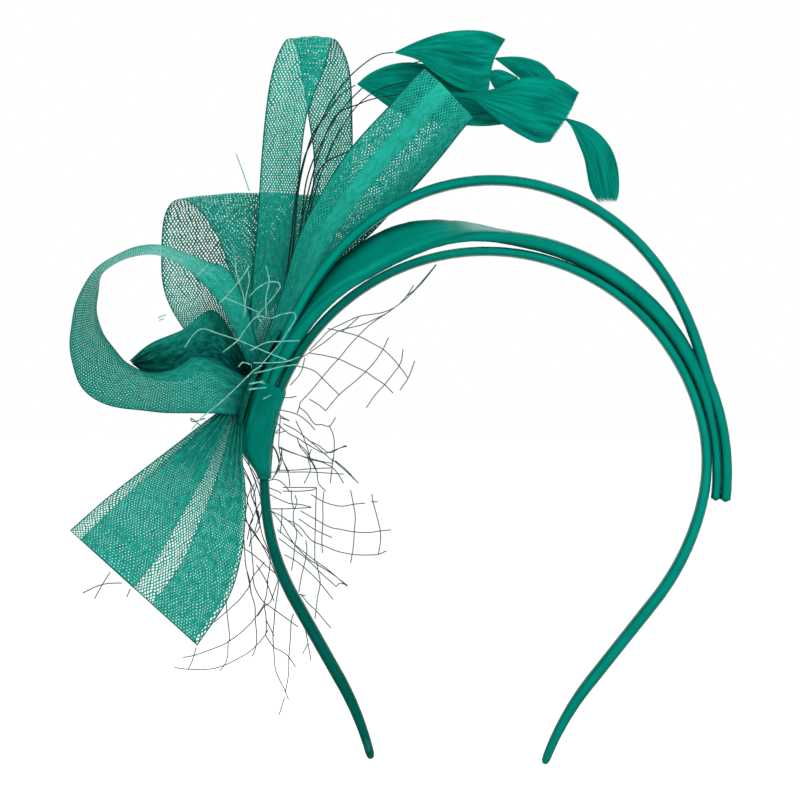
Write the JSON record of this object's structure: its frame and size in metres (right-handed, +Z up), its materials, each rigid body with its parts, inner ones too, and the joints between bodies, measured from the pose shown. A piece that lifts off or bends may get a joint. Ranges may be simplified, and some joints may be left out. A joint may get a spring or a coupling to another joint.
{
  "type": "fascinator headpiece",
  "caption": "Green fascinator: satin headband with arched bands, looped see-through crin ribbon, cut feathers on quills and veil net, worn across the crown.",
  "frame": {"origin": "centre of the round inner face of the headband's crown, in the middle of its width", "axes": "+Z up out of the wearer's head, +X away from the trimmings along the band's plane, +Y back, so the drawn front looks along -Y"},
  "size_m": [0.1986, 0.0653, 0.2212],
  "materials": {
    "satin": "smooth glossy satin",
    "plastic_strip": "matt, hidden inside the satin",
    "glue": "clear hot-melt glue, hidden",
    "felt": "stiff felt",
    "sewing_thread": "twisted thread",
    "crin": "open braided nylon horsehair with a soft sheen",
    "feather": "dyed cut feather vane on a dark quill",
    "veil_thread": "fine stiff veil thread"
  },
  "bodies": {
    "root": {"headband_cover": "satin", "headband_core": "plastic_strip", "middle_band_cover": "satin", "middle_band_core": "plastic_strip", "upper_band_cover": "satin", "upper_band_core": "plastic_strip", "right_end_glue": "glue", "left_end_glue": "glue", "left_join_sleeve": "satin", "felt_pad": "felt", "pad_stitches": "sewing_thread", "crin_tall_loop": "crin", "crin_right_loop": "crin", "crin_back_loop": "crin", "crin_ring": "crin", "crin_ruffle": "crin", "crin_tail_back": "crin", "crin_tail_pleats": "crin", "feather_top": "feather", "feather_left": "feather", "feather_back": "feather", "feather_small": "feather", "feather_centre": "feather", "feather_drooping": "feather", "veil_upper": "veil_thread", "veil_lower_right": "veil_thread", "veil_lower_left": "veil_thread", "veil_front": "veil_thread"}
  },
  "joints": []
}
